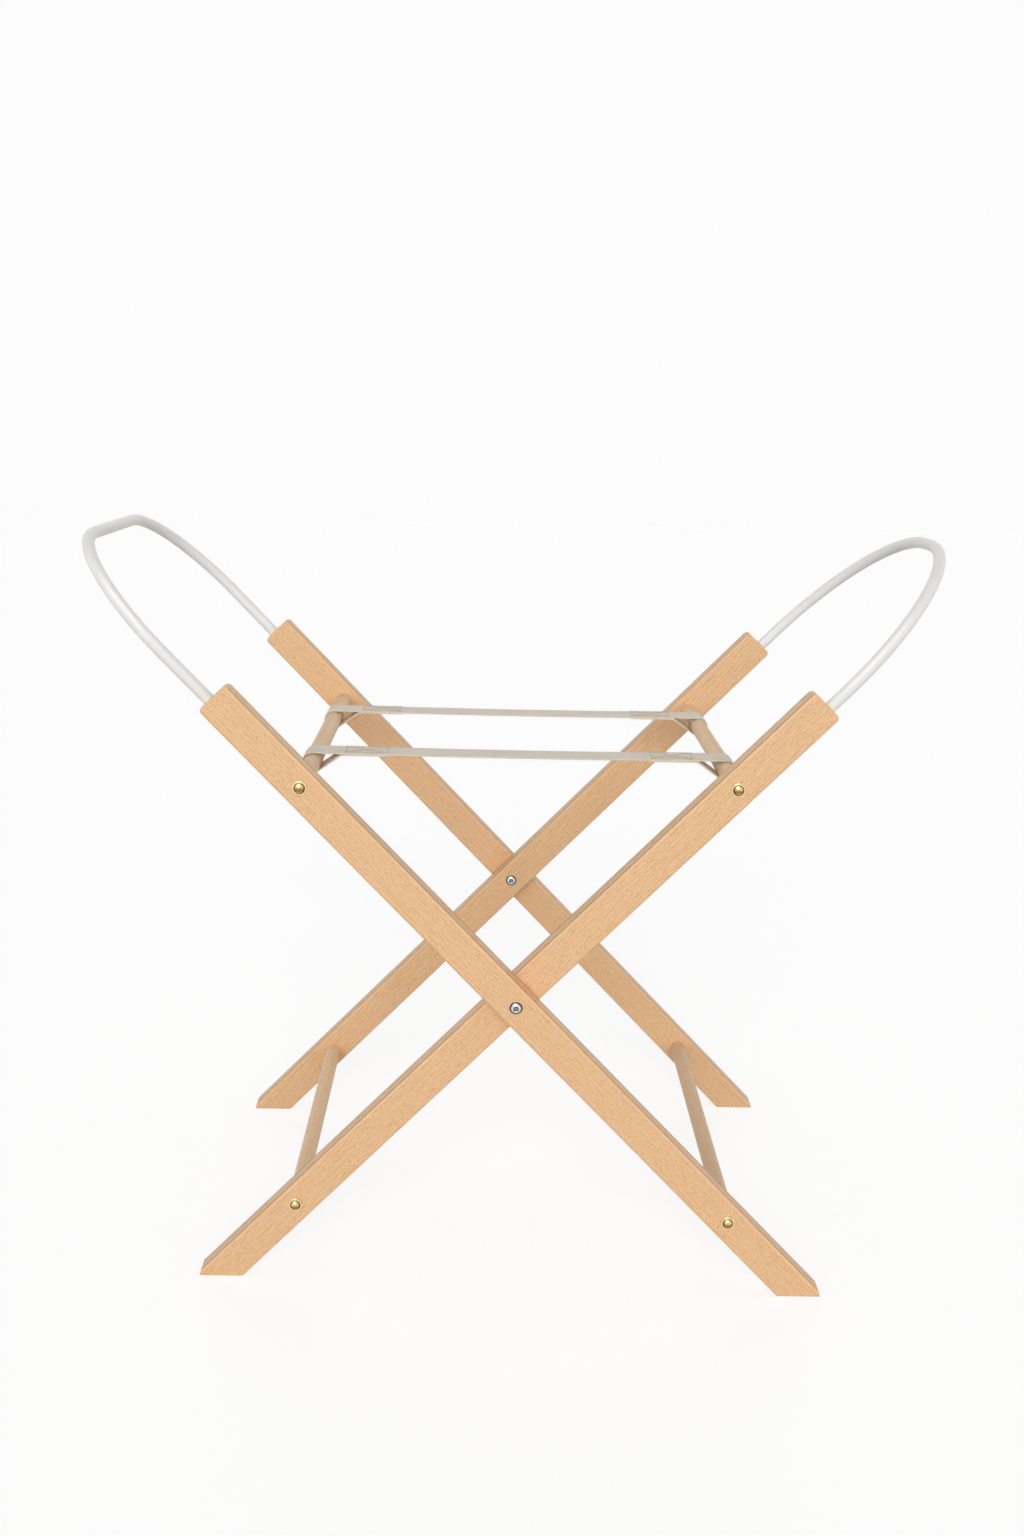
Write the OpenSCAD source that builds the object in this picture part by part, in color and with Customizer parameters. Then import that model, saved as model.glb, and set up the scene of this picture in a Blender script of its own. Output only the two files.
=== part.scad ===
// Folding cross-leg stand: two nested beech frames on two pivots, each with a bent tube bow.
// X runs along the spread of the legs, Y from front to back, Z up. The floor is Z = 0.
// All lengths are in millimetres and all angles in degrees.

/* [Stance] */
// Height of the pivot axis above the floor
pivot_height = 287; // [240:1:340]
// Angle between each leg and the floor when the stand is open
lean_angle = 46.25; // [40:0.25:54]
// Depth over the outside faces of the outer legs
outer_depth = 405; // [340:1:470]

/* [Legs] */
// Width of a leg, seen from the front
leg_w = 32; // [28:0.5:40]
// Thickness of a leg from front to back
leg_t = 20; // [17:0.5:26]
// Distance along the leg from the pivot to its square-cut top
leg_rise = 382.5; // [340:0.5:440]
// Radius of the long edges and of the front and back edges of the top end
leg_edge_r = 1.25; // [0.5:0.25:4]
// Radius of the corners of the top end
leg_corner_r = 4.5; // [2.5:0.25:8]
// Height of the upright face that blunts the tip of the foot
foot_tip_h = 3.5; // [1.5:0.5:12]
// Radius between that face and the outer edge of the leg
foot_tip_r = 7; // [2:0.5:14]

/* [Crossbars] */
// Diameter of a crossbar
bar_d = 16; // [14:0.5:19]
// Distance along the leg from its top down to the upper crossbar
upper_bar_inset = 106.5; // [80:0.5:140]
// Distance along the middle of the leg from the floor up to the lower crossbar
lower_bar_inset = 105.3; // [80:0.1:140]
// Depth of the blind seat that a crossbar end has in the leg
bar_seat = 6; // [3:0.5:9]

/* [Bows] */
// Diameter of the bow tube
bow_d = 11; // [8:0.25:12]
// Wall of the bow tube
bow_wall = 1.5; // [1:0.1:2.5]
// Height of the bow above the leg tops, measured up the lean of the legs
bow_rise = 178; // [140:1:240]
// Bend radius of the bow on the outer frame
outer_bend_r = 122; // [60:1:160]
// Bend radius of the bow on the inner frame
inner_bend_r = 162; // [60:1:165]
// Length of tube held in the end of the leg
bow_grip = 45; // [30:1:60]
// Distance of the tube from the middle of the leg, to its lower side
bow_offset = 5; // [0:0.25:6]

/* [Crossbar bolts] */
// Diameter of the bolt shank
bolt_d = 6; // [4:0.25:7]
// Length of the bolt under its head
bolt_len = 35; // [32:0.5:45]
// Diameter of the plain domed head
bolt_head_d = 10; // [9:0.25:12]
// Height of the plain domed head
bolt_head_h = 3.5; // [2.2:0.1:4.4]
// Diameter of the washer under the head
washer_d = 12.6; // [11:0.2:16]
// Thickness of the washer under the head
washer_t = 1.2; // [0.8:0.1:2]
// Outer diameter of the threaded insert in the crossbar end
insert_d = 9; // [8.5:0.25:11]
// Length of the threaded insert
insert_len = 15; // [10:0.5:18]

/* [Pivots] */
// Diameter of the domed heads at both ends of a pivot
pivot_head_d = 12; // [10:0.25:16]
// Height of those heads
pivot_head_h = 3.2; // [2.2:0.1:5]
// Outer diameter of the sleeve that the legs turn on
sleeve_d = 8; // [7.5:0.25:10]
// Diameter of the bolt in the sleeve
pivot_bolt_d = 5; // [4:0.25:5.5]
// Length of the bolt under its head
pivot_bolt_len = 30; // [22:0.5:34]
// Width across the flats of the key sockets
pivot_key_w = 4; // [3:0.25:5]
// Depth of the key sockets
pivot_key_h = 1.8; // [1:0.1:2]
// Diameter of the spacer between the legs
spacer_d = 22; // [14:0.5:28]
// Thickness of the spacer
spacer_t = 1.5; // [1:0.1:3]

/* [Straps] */
// Width of a strap
strap_w = 30; // [20:1:50]
// Thickness of the webbing
strap_t = 1.8; // [1.2:0.1:3]
// Distance of each strap from the middle of the stand
strap_place = 95; // [60:1:125]
// Length of the sewn lap behind each loop
strap_lap = 45; // [25:1:80]
// Angle at which the end of the webbing comes back up from under a crossbar
strap_rise_angle = 35; // [25:1:50]

/* [Clearances] */
// Radial clearance of pieces that are glued or screwed in place
seat_fit = 0.05; // [0.02:0.01:0.1]
// Radial clearance of the legs on the pivot sleeves
running_fit = 0.06; // [0.02:0.01:0.1]
// Free play beside each turning leg
side_play = 0.12; // [0.05:0.01:0.3]
// Radial room round the bolt shanks in the legs and behind their tips
bolt_room = 0.3; // [0.2:0.05:0.6]
// Gap between a strap and the crossbar inside its loop
strap_gap = 0.3; // [0.2:0.05:0.6]

/* [Hidden] */
$fn = 72;

// Sides and ends of the stand
OUTER = -1;
INNER = 1;
FRONT = -1;
REAR = 1;

// Colours of the materials
BEECH = [0.86, 0.69, 0.51];
BEECH_BAR = [0.83, 0.66, 0.49];
LACQUER = [0.94, 0.94, 0.92];
BRASS = [0.80, 0.62, 0.30];
ZINC = [0.75, 0.77, 0.79];
NYLON = [0.93, 0.92, 0.89];
WEBBING = [0.91, 0.88, 0.82];

// How far a cut runs past the face that it opens
overrun = 1;

// The inner legs stand inside the outer legs, with a spacer and its play between them
outer_half = outer_depth / 2 - leg_t / 2;
inner_half = outer_half - leg_t - spacer_t - side_play;

// A bend leaves some straight tube in the arms and across the top
bend_share = 0.96;

// Length along the leg from the pivot to the tip of the foot, before the tip is blunted
foot_reach = (pivot_height + leg_w / 2 * cos(lean_angle)) / sin(lean_angle);

// The round of the foot ends before it has used up the upright face
tip_round_share = 0.9;
tip_r = min(foot_tip_r, tip_round_share * foot_tip_h / tan((90 - lean_angle) / 2));

// Distances along the leg from the pivot to the crossbars
upper_bar_dist = leg_rise - upper_bar_inset;
lower_bar_dist = pivot_height / sin(lean_angle) - lower_bar_inset;

// Depths in the crossbar ends: the insert, then room for the tip of the bolt
bolt_in_leg = leg_t - bar_seat;
bolt_tip = bolt_len - washer_t - bolt_in_leg;
tip_room = max(bolt_tip, insert_len) + bolt_d / 2;

// The sleeve ends short of the outer face, so that the bolt can draw the pivot up
sleeve_short_share = 0.15;
sleeve_len = 2 * leg_t + spacer_t + 2 * side_play - leg_t * sleeve_short_share;
sleeve_blind = sleeve_len - leg_t * sleeve_short_share;

// Half the distance between the upper crossbars
strap_half_span = upper_bar_dist * cos(lean_angle);
strap_z = pivot_height + upper_bar_dist * sin(lean_angle);
strap_arc_steps = 24;

function half_of(frame) = frame == OUTER ? outer_half : inner_half;
function bend_of(frame) = min(frame == OUTER ? outer_bend_r : inner_bend_r,
                              bend_share * min(half_of(frame), bow_rise));

// Stands a frame up: inside, Z runs up along the leg from the pivot and +X is the lower side
// of its upper arm
module leaning(frame) {
    translate([0, 0, pivot_height]) {
        if (frame == OUTER) {
            mirror([1, 0, 0]) rotate([0, 90 - lean_angle, 0]) children();
        } else {
            rotate([0, 90 - lean_angle, 0]) children();
        }
    }
}

// Draws something at the front as it is, and at the rear turned about
module at_end(end) {
    if (end == REAR) {
        mirror([0, 1, 0]) children();
    } else {
        children();
    }
}

// Lays a drawing of X and height down as a plate that is centred on Y = 0
module plate(thickness) {
    rotate([90, 0, 0]) linear_extrude(height = thickness, center = true) children();
}

// A round pin along +Y
module pin_y(d, length) {
    rotate([-90, 0, 0]) cylinder(d = d, h = length);
}

// Rectangle with four round corners, centred
module round_rect(w, h, r) {
    square([w - 2 * r, h], center = true);
    square([w, h - 2 * r], center = true);
    for (x = [-1, 1], y = [-1, 1]) {
        translate([x * (w / 2 - r), y * (h / 2 - r)]) circle(r = r);
    }
}

// Leg outline

// Points of the foot, in the frame of the leg. The floor falls away along [sin, cos] of the lean.
function on_floor(x) = [x, (x * cos(lean_angle) - pivot_height) / sin(lean_angle)];
function along_floor(p, d) = p + d * [sin(lean_angle), cos(lean_angle)];

// Square-cut bar with round top corners, cut level at the floor and blunted at the tip
module leg_outline() {
    tip = on_floor(-leg_w / 2);
    heel = on_floor(leg_w / 2);
    tip_floor = along_floor(tip, foot_tip_h / tan(lean_angle));
    tip_edge = tip + [0, foot_tip_h / sin(lean_angle)];
    // the round between the upright face and the edge of the leg
    setback = tip_r * tan((90 - lean_angle) / 2);
    edge_touch = tip_edge + [0, setback];
    face_touch = tip_edge + setback * (tip_floor - tip_edge) / norm(tip_floor - tip_edge);
    round_centre = edge_touch + [tip_r, 0];
    top = leg_rise - leg_corner_r;
    difference() {
        union() {
            polygon([
                [-leg_w / 2, top], edge_touch, tip_edge, tip_floor, heel, [leg_w / 2, top]
            ]);
            translate([-leg_w / 2 + leg_corner_r, top]) square([leg_w - 2 * leg_corner_r, leg_corner_r]);
            for (side = [-1, 1]) {
                translate([side * (leg_w / 2 - leg_corner_r), top]) circle(r = leg_corner_r);
            }
        }
        difference() {
            polygon([edge_touch, tip_edge, face_touch, round_centre]);
            translate(round_centre) circle(r = tip_r);
        }
    }
}

// What the rounding of the top end takes off along one edge, drawn with the edge at the origin
module top_edge_waste() {
    difference() {
        translate([-leg_edge_r, -leg_edge_r]) square(leg_edge_r + overrun);
        translate([-leg_edge_r, -leg_edge_r]) circle(r = leg_edge_r);
    }
}

// A front leg with its bores. The seats of the crossbars open towards the middle of the stand.
module front_leg(frame) {
    half = half_of(frame);
    inside = leg_t / 2;
    translate([0, -half, 0]) {
        difference() {
            intersection() {
                plate(leg_t) leg_outline();
                translate([0, 0, -foot_reach]) {
                    linear_extrude(height = foot_reach + leg_rise) round_rect(leg_w, leg_t, leg_edge_r);
                }
            }
            for (end = [FRONT, REAR]) {
                at_end(end) translate([-leg_w / 2 - overrun, -inside, leg_rise]) rotate([90, 0, 90]) {
                    linear_extrude(height = leg_w + 2 * overrun) mirror([1, 0]) top_edge_waste();
                }
            }
            translate([0, -inside - overrun, 0]) pin_y(sleeve_d + 2 * running_fit, leg_t + 2 * overrun);
            for (z = [upper_bar_dist, -lower_bar_dist]) {
                translate([0, inside - bar_seat, z]) pin_y(bar_d + 2 * seat_fit, bar_seat + overrun);
                translate([0, -inside - overrun, z]) pin_y(bolt_d + 2 * bolt_room, leg_t + 2 * overrun);
            }
            translate([bow_offset, 0, leg_rise - bow_grip]) {
                cylinder(d = bow_d + 2 * seat_fit, h = bow_grip + overrun);
            }
        }
    }
}

module leg(frame, end) {
    color(BEECH) leaning(frame) at_end(end) front_leg(frame);
}

// Crossbars, bolts, washers and inserts

// Distance of a crossbar end from the middle of the stand
function bar_end(frame) = half_of(frame) - leg_t / 2 + bar_seat;

module crossbar(frame, z) {
    reach = bar_end(frame);
    color(BEECH_BAR) leaning(frame) translate([0, 0, z]) {
        difference() {
            translate([0, -reach, 0]) pin_y(bar_d, 2 * reach);
            for (end = [FRONT, REAR]) {
                at_end(end) translate([0, -reach, 0]) {
                    translate([0, -overrun, 0]) pin_y(insert_d + 2 * seat_fit, insert_len + overrun);
                    pin_y(bolt_d + 2 * bolt_room, tip_room);
                }
            }
        }
    }
}

// Domed head on the XY plane
module domed_head(d, h) {
    ball_r = (pow(d / 2, 2) + pow(h, 2)) / (2 * h);
    rotate_extrude() {
        intersection() {
            translate([0, h - ball_r]) circle(r = ball_r, $fn = 120);
            square([d / 2, h]);
        }
    }
}

// The same with a hexagonal key socket
module socket_head(d, h, key_w, key_h) {
    difference() {
        domed_head(d, h);
        translate([0, 0, h - key_h]) cylinder(d = key_w / cos(30), h = key_h + overrun, $fn = 6);
    }
}

// Puts a piece on the outside face of both legs of a frame, with +Z pointing away from the stand
module on_both_legs(frame, z) {
    for (end = [FRONT, REAR]) {
        leaning(frame) at_end(end) {
            translate([0, -half_of(frame) - leg_t / 2, z]) rotate([90, 0, 0]) children();
        }
    }
}

module bolts(frame, z) {
    color(BRASS) on_both_legs(frame, z) translate([0, 0, washer_t]) {
        domed_head(bolt_head_d, bolt_head_h);
        translate([0, 0, -bolt_len]) cylinder(d = bolt_d, h = bolt_len);
    }
}

module washers(frame, z) {
    color(BRASS) on_both_legs(frame, z) difference() {
        cylinder(d = washer_d, h = washer_t);
        translate([0, 0, -overrun]) cylinder(d = bolt_d + 2 * bolt_room, h = washer_t + 2 * overrun);
    }
}

module inserts(frame, z) {
    color(BRASS) on_both_legs(frame, z) translate([0, 0, -bolt_in_leg - insert_len]) difference() {
        cylinder(d = insert_d, h = insert_len);
        translate([0, 0, -overrun]) cylinder(d = bolt_d + 2 * seat_fit, h = insert_len + 2 * overrun);
    }
}

// Bows

// Tube with two quarter bends, whose straight arms run down into the leg tops
module bow(frame) {
    half = half_of(frame);
    bend_r = bend_of(frame);
    arm = bow_rise - bend_r;
    color(LACQUER) leaning(frame) translate([bow_offset, 0, leg_rise]) {
        for (end = [FRONT, REAR]) {
            at_end(end) {
                translate([0, -half, -bow_grip]) linear_extrude(height = bow_grip + arm) tube_section();
                translate([0, bend_r - half, arm]) rotate([90, 0, 90]) rotate([0, 0, 90]) {
                    rotate_extrude(angle = 90, $fn = 144) translate([bend_r, 0]) tube_section();
                }
            }
        }
        translate([0, bend_r - half, bow_rise]) rotate([-90, 0, 0]) {
            linear_extrude(height = 2 * (half - bend_r)) tube_section();
        }
    }
}

module tube_section() {
    difference() {
        circle(d = bow_d);
        circle(d = bow_d - 2 * bow_wall);
    }
}

// Pivots

// Puts a piece on the outside face of an outer leg at the pivot, with +Z pointing away from the stand
module at_pivot(end) {
    translate([0, 0, pivot_height]) at_end(end) {
        translate([0, -outer_half - leg_t / 2, 0]) rotate([90, 0, 0]) children();
    }
}

module pivot_bolt(end) {
    color(ZINC) at_pivot(end) {
        socket_head(pivot_head_d, pivot_head_h, pivot_key_w, pivot_key_h);
        translate([0, 0, -pivot_bolt_len]) cylinder(d = pivot_bolt_d, h = pivot_bolt_len);
    }
}

// Sleeve nut: its head lies on the inside face of the inner leg and its barrel runs out to the bolt
module pivot_sleeve(end) {
    stack = 2 * leg_t + spacer_t + 2 * side_play;
    color(ZINC) at_pivot(end) translate([0, 0, -stack]) difference() {
        union() {
            mirror([0, 0, 1]) socket_head(pivot_head_d, pivot_head_h, pivot_key_w, pivot_key_h);
            cylinder(d = sleeve_d, h = sleeve_len);
        }
        translate([0, 0, sleeve_len - sleeve_blind]) {
            cylinder(d = pivot_bolt_d + 2 * seat_fit, h = sleeve_blind + overrun);
        }
    }
}

module pivot_spacer(end) {
    color(NYLON) at_pivot(end) translate([0, 0, -leg_t - spacer_t]) difference() {
        cylinder(d = spacer_d, h = spacer_t);
        translate([0, 0, -overrun]) cylinder(d = sleeve_d + 2 * bolt_room, h = spacer_t + 2 * overrun);
    }
}

// Straps

// Places round a crossbar, from the top of the loop over the outside to where the end of the
// webbing leaves it
function loop_arc(r) = [
    for (i = [0 : strap_arc_steps])
        let (a = 90 + (180 + strap_rise_angle) * i / strap_arc_steps) [r * cos(a), r * sin(a)]
];
function turned_round(points) = [
    for (i = [len(points) - 1 : -1 : 0]) [-points[i][0], points[i][1]]
];
function moved_x(points, x) = [for (p = points) p + [x, 0]];

// A band of webbing: in over each crossbar, round it, and back up to a lap that is sewn under the band.
// The middle of the band is at X = 0 and the crossbars are at height 0.
module strap_band() {
    r = bar_d / 2 + strap_gap;
    far = r + strap_t;
    b = strap_rise_angle;
    meet_x = r * sin(b) + r * (1 + cos(b)) / tan(b);
    under_x = far * sin(b) + (r - strap_t + far * cos(b)) / tan(b);
    lap_x = meet_x + strap_lap;
    end = concat(loop_arc(far), [[under_x, r - strap_t], [lap_x, r - strap_t], [lap_x, r]]);
    left = moved_x(end, -strap_half_span);
    hole = moved_x(concat(loop_arc(r), [[meet_x, r]]), -strap_half_span);
    difference() {
        plate(strap_w) polygon(concat(left, turned_round(left)));
        plate(strap_w + 2 * overrun) polygon(hole);
        plate(strap_w + 2 * overrun) polygon(turned_round(hole));
    }
}

module strap(end) {
    color(WEBBING) translate([0, end * strap_place, strap_z]) strap_band();
}

// One module for each piece

module outer_front_leg() { leg(OUTER, FRONT); }
module outer_rear_leg() { leg(OUTER, REAR); }
module outer_upper_crossbar() { crossbar(OUTER, upper_bar_dist); }
module outer_lower_crossbar() { crossbar(OUTER, -lower_bar_dist); }
module outer_bow() { bow(OUTER); }
module outer_upper_bolts() { bolts(OUTER, upper_bar_dist); }
module outer_lower_bolts() { bolts(OUTER, -lower_bar_dist); }
module outer_upper_washers() { washers(OUTER, upper_bar_dist); }
module outer_lower_washers() { washers(OUTER, -lower_bar_dist); }
module outer_upper_inserts() { inserts(OUTER, upper_bar_dist); }
module outer_lower_inserts() { inserts(OUTER, -lower_bar_dist); }
module inner_front_leg() { leg(INNER, FRONT); }
module inner_rear_leg() { leg(INNER, REAR); }
module inner_upper_crossbar() { crossbar(INNER, upper_bar_dist); }
module inner_lower_crossbar() { crossbar(INNER, -lower_bar_dist); }
module inner_bow() { bow(INNER); }
module inner_upper_bolts() { bolts(INNER, upper_bar_dist); }
module inner_lower_bolts() { bolts(INNER, -lower_bar_dist); }
module inner_upper_washers() { washers(INNER, upper_bar_dist); }
module inner_lower_washers() { washers(INNER, -lower_bar_dist); }
module inner_upper_inserts() { inserts(INNER, upper_bar_dist); }
module inner_lower_inserts() { inserts(INNER, -lower_bar_dist); }
module front_pivot_bolt() { pivot_bolt(FRONT); }
module rear_pivot_bolt() { pivot_bolt(REAR); }
module front_pivot_sleeve() { pivot_sleeve(FRONT); }
module rear_pivot_sleeve() { pivot_sleeve(REAR); }
module front_pivot_spacer() { pivot_spacer(FRONT); }
module rear_pivot_spacer() { pivot_spacer(REAR); }
module front_strap() { strap(FRONT); }
module rear_strap() { strap(REAR); }

outer_front_leg();
outer_rear_leg();
outer_upper_crossbar();
outer_lower_crossbar();
outer_bow();
outer_upper_bolts();
outer_lower_bolts();
outer_upper_washers();
outer_lower_washers();
outer_upper_inserts();
outer_lower_inserts();
inner_front_leg();
inner_rear_leg();
inner_upper_crossbar();
inner_lower_crossbar();
inner_bow();
inner_upper_bolts();
inner_lower_bolts();
inner_upper_washers();
inner_lower_washers();
inner_upper_inserts();
inner_lower_inserts();
front_pivot_bolt();
rear_pivot_bolt();
front_pivot_sleeve();
rear_pivot_sleeve();
front_pivot_spacer();
rear_pivot_spacer();
front_strap();
rear_strap();
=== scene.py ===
"""Folding cross-leg stand: two nested beech frames with bent tube bows and webbing spread straps.

The file is laid out as an add-on and run as a script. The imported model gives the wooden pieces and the
hidden ones; the operators dress them and make the bows, the fixings, the straps and the stage.
"""

from math import atan2, copysign, cos, pi, radians, sin, sqrt, tan

import bpy
from bpy.props import FloatProperty, FloatVectorProperty, IntProperty, PointerProperty
from bpy.types import Operator, Panel, PropertyGroup
from mathutils import Euler, Matrix, Vector


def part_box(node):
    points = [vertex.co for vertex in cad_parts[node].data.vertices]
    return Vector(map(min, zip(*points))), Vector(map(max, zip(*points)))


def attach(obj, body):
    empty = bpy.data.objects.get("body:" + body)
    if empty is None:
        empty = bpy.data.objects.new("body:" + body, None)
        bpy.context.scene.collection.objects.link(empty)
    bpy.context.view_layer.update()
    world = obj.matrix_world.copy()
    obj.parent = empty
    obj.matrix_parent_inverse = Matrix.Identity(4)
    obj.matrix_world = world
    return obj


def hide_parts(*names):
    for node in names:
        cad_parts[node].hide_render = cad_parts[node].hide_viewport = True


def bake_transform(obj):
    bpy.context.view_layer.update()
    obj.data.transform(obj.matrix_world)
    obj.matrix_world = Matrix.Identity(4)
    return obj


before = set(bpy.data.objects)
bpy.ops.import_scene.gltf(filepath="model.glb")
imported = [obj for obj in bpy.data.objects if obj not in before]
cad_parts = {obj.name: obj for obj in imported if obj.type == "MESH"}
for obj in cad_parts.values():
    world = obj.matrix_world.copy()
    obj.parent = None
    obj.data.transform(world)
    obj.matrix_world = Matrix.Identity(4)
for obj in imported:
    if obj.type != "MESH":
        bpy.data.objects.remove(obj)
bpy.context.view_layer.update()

bl_info = {
    "name": "Folding cross-leg stand",
    "version": (1, 0, 0),
    "blender": (4, 5, 0),
    "location": "3D View > Sidebar > Stand",
    "description": "Dresses the frames of a folding stand and makes its bows, fixings, straps and stage",
    "category": "Object",
}


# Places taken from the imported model

ENDS = ("front", "rear")
FRONT, REAR = 0, 1
FRAMES = ("outer", "inner")
LEVELS = ("upper", "lower")
BODY = {"outer": "outer_frame", "inner": "inner_frame"}


def middle_of(node):
    """Middle of a node's box."""
    low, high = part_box(node)
    return (Vector(low) + Vector(high)) / 2


def face_of(node, end):
    """How far back the front or the rear face of a node lies."""
    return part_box(node)[end][1]


PIVOT = (middle_of("front_pivot_spacer") + middle_of("rear_pivot_spacer")) / 2


def up_the_leg(side):
    """Unit vector from the pivot up along the legs of a frame."""
    rise = middle_of(f"{side}_upper_crossbar") - PIVOT
    return Vector((rise.x, 0.0, rise.z)).normalized()


def lower_side(side):
    """Unit vector across the legs of a frame, towards the lower side of their upper arms."""
    along = up_the_leg(side)
    lean = copysign(1.0, along.x)
    return Vector((lean * along.z, 0.0, -lean * along.x))


# Settings that a user would change

def setting(kind, **limits):
    """Maker of settings of one kind."""
    def made(label, description, default):
        return kind(name=label, description=description, default=default, **limits)
    return made


length = setting(FloatProperty, min=0.0, unit="LENGTH", subtype="DISTANCE", precision=5)
optic = setting(FloatProperty, unit="CAMERA")
angle = setting(FloatProperty, subtype="ANGLE")
number = setting(FloatProperty)
steps = setting(IntProperty, min=12, max=200)
position = setting(FloatVectorProperty, subtype="TRANSLATION", size=3, unit="LENGTH", precision=5)
direction = setting(FloatVectorProperty, subtype="XYZ", size=3)
colour = setting(FloatVectorProperty, subtype="COLOR", size=3, min=0.0, max=1.0)


class BeechSettings(PropertyGroup):
    """Steamed beech with a thin matt clear coat."""
    early: colour("Early wood", "Pale wood between the ring lines", (0.905, 0.585, 0.334))
    late: colour("Late wood", "Ring lines and darker streaks", (0.706, 0.385, 0.160))
    # the crossbars are the same beech as the legs; their lighter colours are painted light on the round bars
    bar_early_lightened: colour("Crossbar early wood", "Pale wood of the crossbars", (0.975, 0.695, 0.436))
    bar_late_lightened: colour("Crossbar late wood", "Ring lines of the crossbars", (0.845, 0.556, 0.322))
    fleck: colour("Flecks", "Short ray flecks along the grain", (0.470, 0.245, 0.108))
    # colour of the painted shade along the lower edges of the legs
    lower_edge_shade: colour("Coat line", "Clear coat gathered along the lower edges", (0.690, 0.353, 0.133))
    cut_end: colour("Cut ends", "Open end grain at leg tops and feet", (0.560, 0.318, 0.155))
    ring_pitch: length("Ring pitch", "Distance between growth rings", 0.0025)
    leg_w: length("Leg width", "Width of a leg seen from the front", 0.032)
    leg_t: length("Leg thickness", "Thickness of a leg from front to back", 0.020)
    leg_rise: length("Leg rise", "Distance from the pivot to the top of a leg", 0.3825)
    edge: length("Edge radius", "Radius of the rounded edges of a leg", 0.00125)


class BowSettings(PropertyGroup):
    """Bent tube with a white satin lacquer."""
    tube_d: length("Tube diameter", "Outside diameter of the tube", 0.011)
    rise: length("Rise", "Height above the leg tops, along the legs", 0.178)
    outer_bend: length("Outer bend", "Bend radius of the bow on the outer frame", 0.122)
    inner_bend: length("Inner bend", "Bend radius of the bow on the inner frame", 0.162)
    grip: length("Grip", "Length held inside the end of the leg", 0.045)
    offset: length("Offset", "Distance of the tube from the leg's middle", 0.005)
    sides: steps("Sides", "Faces round the tube", 40)
    bend_steps: steps("Bend steps", "Steps in each bend", 72)
    lacquer: colour("Lacquer", "Colour of the lacquer", (0.872, 0.866, 0.832))


class FixingSettings(PropertyGroup):
    """Crossbar bolts with their washers, and the two pivots."""
    head_d: length("Bolt head", "Diameter of a bolt head", 0.010)
    head_h: length("Bolt head height", "Height of a bolt head", 0.0035)
    shank_d: length("Bolt shank", "Diameter of a bolt shank", 0.006)
    shank_l: length("Bolt length", "Length of a bolt under its head", 0.035)
    washer_d: length("Washer", "Diameter of a washer", 0.0126)
    washer_t: length("Washer thickness", "Thickness of a washer", 0.0012)
    pivot_d: length("Pivot head", "Diameter of the pivot heads", 0.012)
    pivot_h: length("Pivot head height", "Height of the pivot heads", 0.0032)
    pivot_bolt_d: length("Pivot bolt", "Diameter of the pivot bolt", 0.005)
    pivot_bolt_l: length("Pivot bolt length", "Length of the pivot bolt under its head", 0.030)
    sleeve_d: length("Sleeve", "Diameter of the pivot sleeve", 0.008)
    sleeve_l: length("Sleeve length", "Length of the pivot sleeve under its head", 0.0387)
    key_w: length("Key width", "Width across the flats of the key sockets", 0.004)
    key_h: length("Key depth", "Depth of the key sockets", 0.0018)
    brass: colour("Brass", "Colour of the bolts and inserts", (0.860, 0.600, 0.270))
    washer_brass: colour("Washer brass", "Colour of the washers", (0.985, 0.800, 0.450))
    zinc: colour("Zinc", "Colour of the pivots", (0.800, 0.805, 0.810))
    nylon: colour("Nylon", "Colour of the spacers between the legs", (0.800, 0.785, 0.740))


class StrapSettings(PropertyGroup):
    """Cotton webbing sewn round the upper crossbars."""
    width: length("Width", "Width of the webbing", 0.030)
    thickness: length("Thickness", "Thickness of the webbing", 0.0015)
    bar_gap: length("Bar gap", "Gap between the webbing and the crossbar", 0.0004)
    ply_gap: length("Ply gap", "Gap between the two plies of a lap", 0.0002)
    lap: length("Lap", "Length of the sewn lap behind each loop", 0.045)
    rise_angle: angle("Rise angle", "Angle of the lap's rise from the crossbar", radians(35.0))
    sag: length("Sag", "How far the middle hangs down", 0.0012)
    warp: length("Warp pitch", "Distance between warp ribs", 0.00165)
    weft: length("Weft pitch", "Distance between weft threads", 0.0021)
    stitch_pitch: length("Stitch pitch", "Distance from stitch to stitch", 0.0030)
    stitch_l: length("Stitch length", "Length of one stitch", 0.0025)
    thread_d: length("Thread", "Diameter of the sewing thread", 0.0007)
    cotton: colour("Cotton", "Colour of the webbing", (0.915, 0.825, 0.675))
    thread: colour("Thread colour", "Colour of the sewing thread", (0.560, 0.485, 0.380))


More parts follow.
